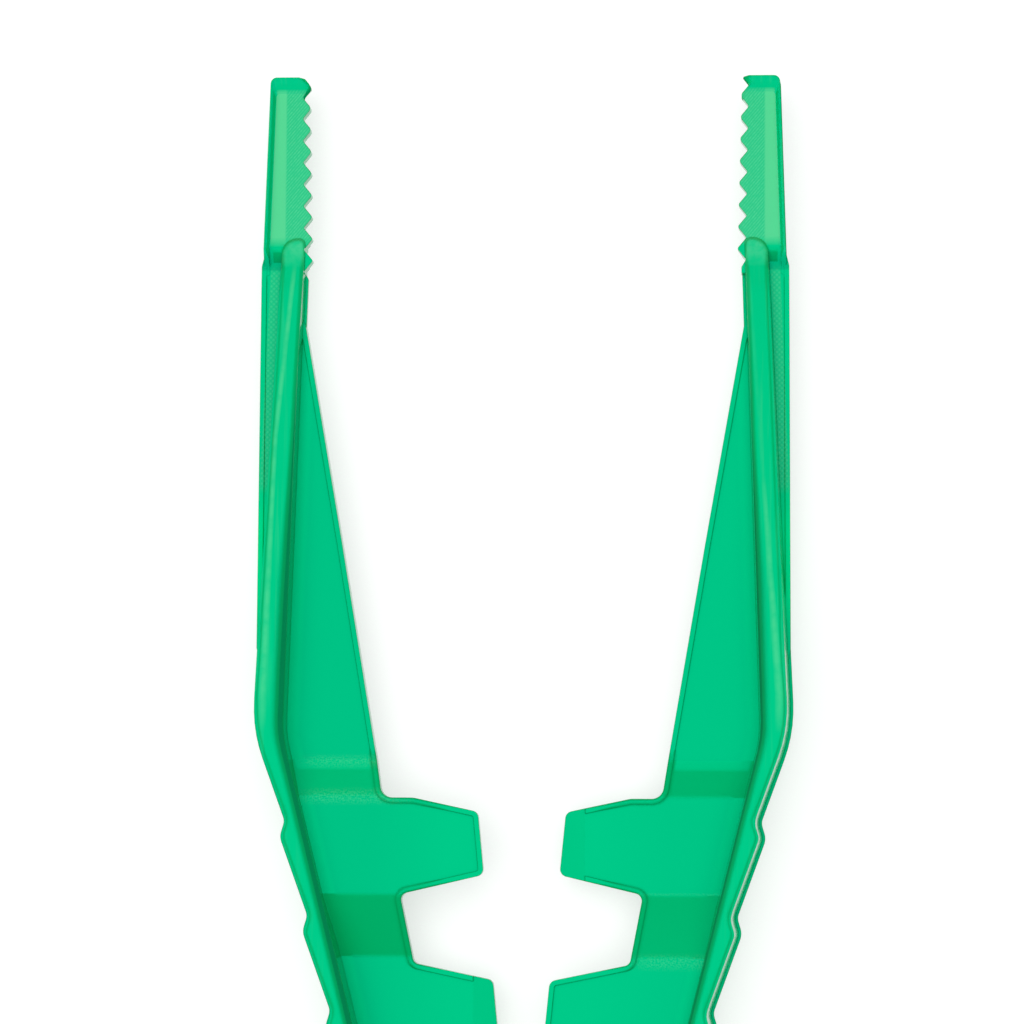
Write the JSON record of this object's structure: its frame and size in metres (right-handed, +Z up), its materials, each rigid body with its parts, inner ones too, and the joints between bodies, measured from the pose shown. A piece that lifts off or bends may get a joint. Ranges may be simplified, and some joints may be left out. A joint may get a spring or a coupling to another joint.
{
  "type": "dressing forceps",
  "caption": "Moulded plastic dressing forceps: sprung arms joined by a rear bow, serrated tray jaws, stepped grips and guide tabs that pass over each other.",
  "frame": {"origin": "centre of the footprint, on the surface that the lower strip edges lie on", "axes": "+Y from the bow to the jaw tips, +X across the arms, +Z up from the side it lies on"},
  "size_m": [0.044, 0.1235, 0.01],
  "materials": {
    "green_plastic": "semi-gloss green polypropylene with fine tool marks on the flat faces"
  },
  "bodies": {
    "root": {"dressing_forceps": "green_plastic"}
  },
  "joints": []
}
